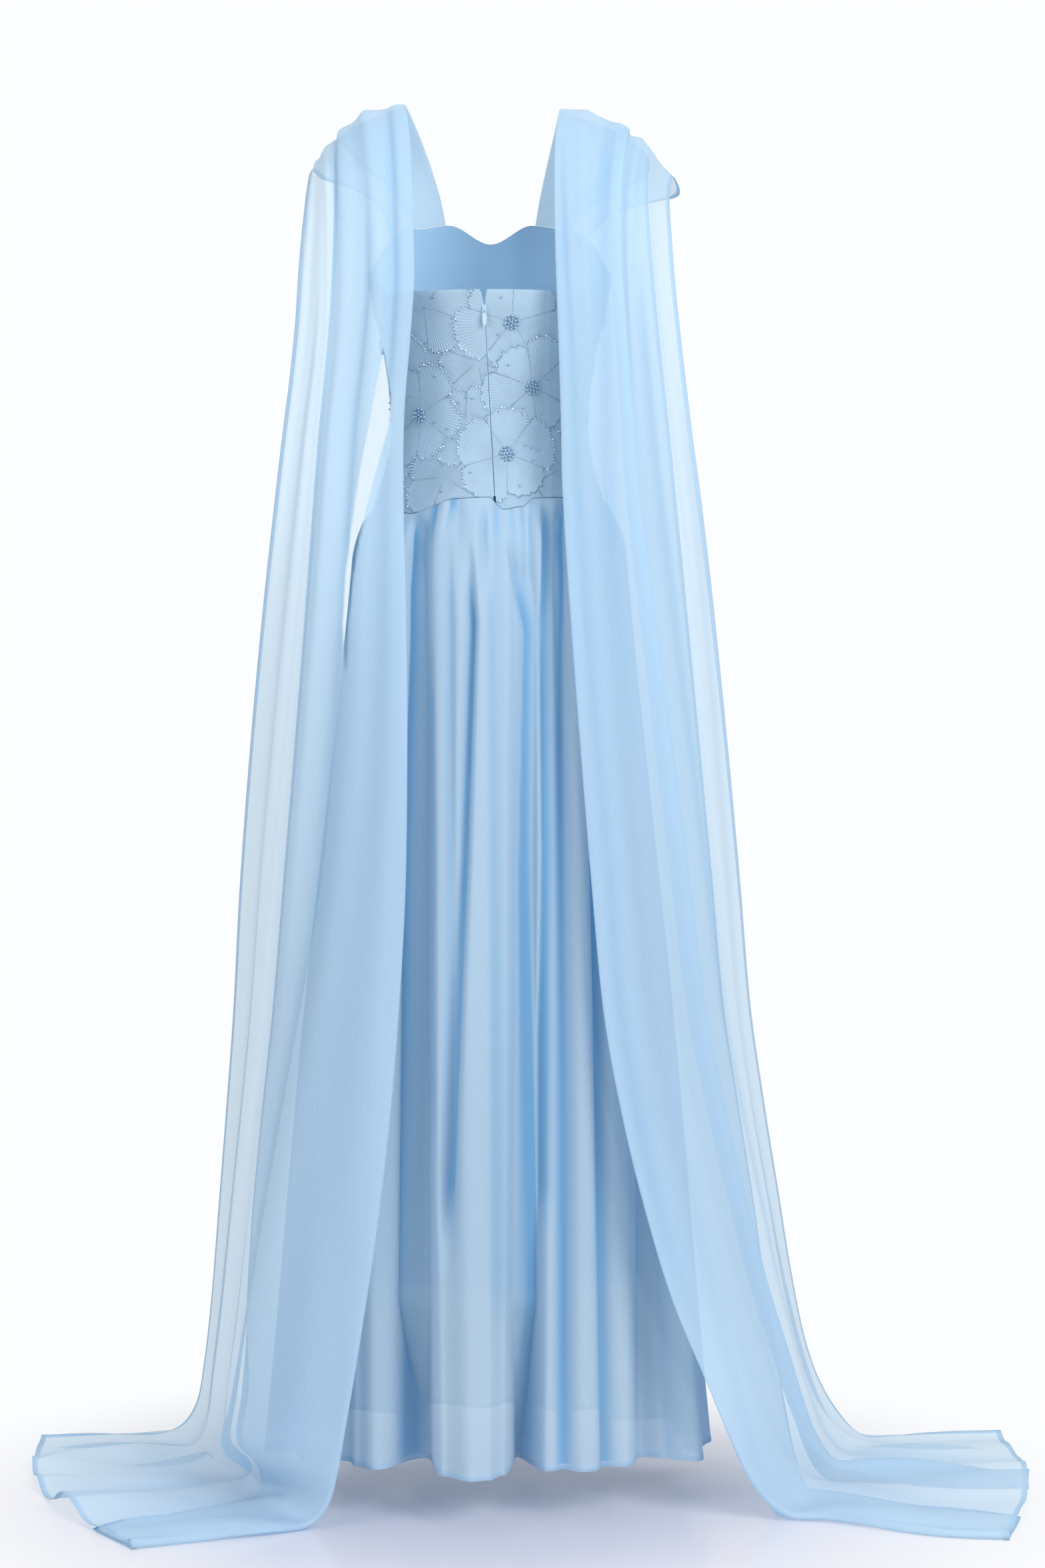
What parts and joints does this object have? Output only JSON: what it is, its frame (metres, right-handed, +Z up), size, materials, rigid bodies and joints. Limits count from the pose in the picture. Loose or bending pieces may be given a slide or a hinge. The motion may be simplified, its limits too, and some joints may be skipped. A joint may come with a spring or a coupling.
{
  "type": "embroidered maxi dress with cape panels",
  "caption": "Strapless floor-length dress with beaded floral bodice, back zip, gathered chiffon overskirt on a shorter lining, and long chiffon cape panels with trains.",
  "frame": {"origin": "on the body axis at the waist, where the wearer holds the dress, 1.18 m above the floor that the trains lie on", "axes": "+Z up, front of the dress towards -Y, back towards +Y, wearer's left towards +X"},
  "size_m": [1.1329, 0.5221, 1.5308],
  "materials": {
    "embroidered_tulle": "embroidered tulle on a matt lining",
    "chiffon": "sheer plain-weave chiffon",
    "lining": "soft satin lining",
    "zip_coil": "dyed nylon coil",
    "dyed_zip_metal": "lacquered to match the cloth",
    "pearl_bead": "pearly"
  },
  "bodies": {
    "dress": {"bodice_front": "embroidered_tulle", "bodice_back_left": "embroidered_tulle", "bodice_back_right": "embroidered_tulle", "overskirt_front": "chiffon", "overskirt_back": "chiffon", "lining_front": "lining", "lining_back": "lining", "cape_left": "chiffon", "cape_right": "chiffon", "zip_coil": "zip_coil", "zip_slider": "dyed_zip_metal", "bead_cluster_01": "pearl_bead", "bead_cluster_02": "pearl_bead", "bead_cluster_03": "pearl_bead", "bead_cluster_04": "pearl_bead", "bead_cluster_05": "pearl_bead", "bead_cluster_06": "pearl_bead", "bead_cluster_07": "pearl_bead", "bead_cluster_08": "pearl_bead", "bead_cluster_09": "pearl_bead", "bead_cluster_10": "pearl_bead", "bead_cluster_11": "pearl_bead", "bead_cluster_12": "pearl_bead"},
    "zip_pull": {"zip_pull": "dyed_zip_metal"}
  },
  "joints": [
    {"name": "pull_swing", "type": "hinge", "parent": "dress", "child": "zip_pull", "pos_m": [0.00479, 0.10167, 0.11465], "axis": [1, 0, 0], "range_deg": [0, 120]}
  ]
}
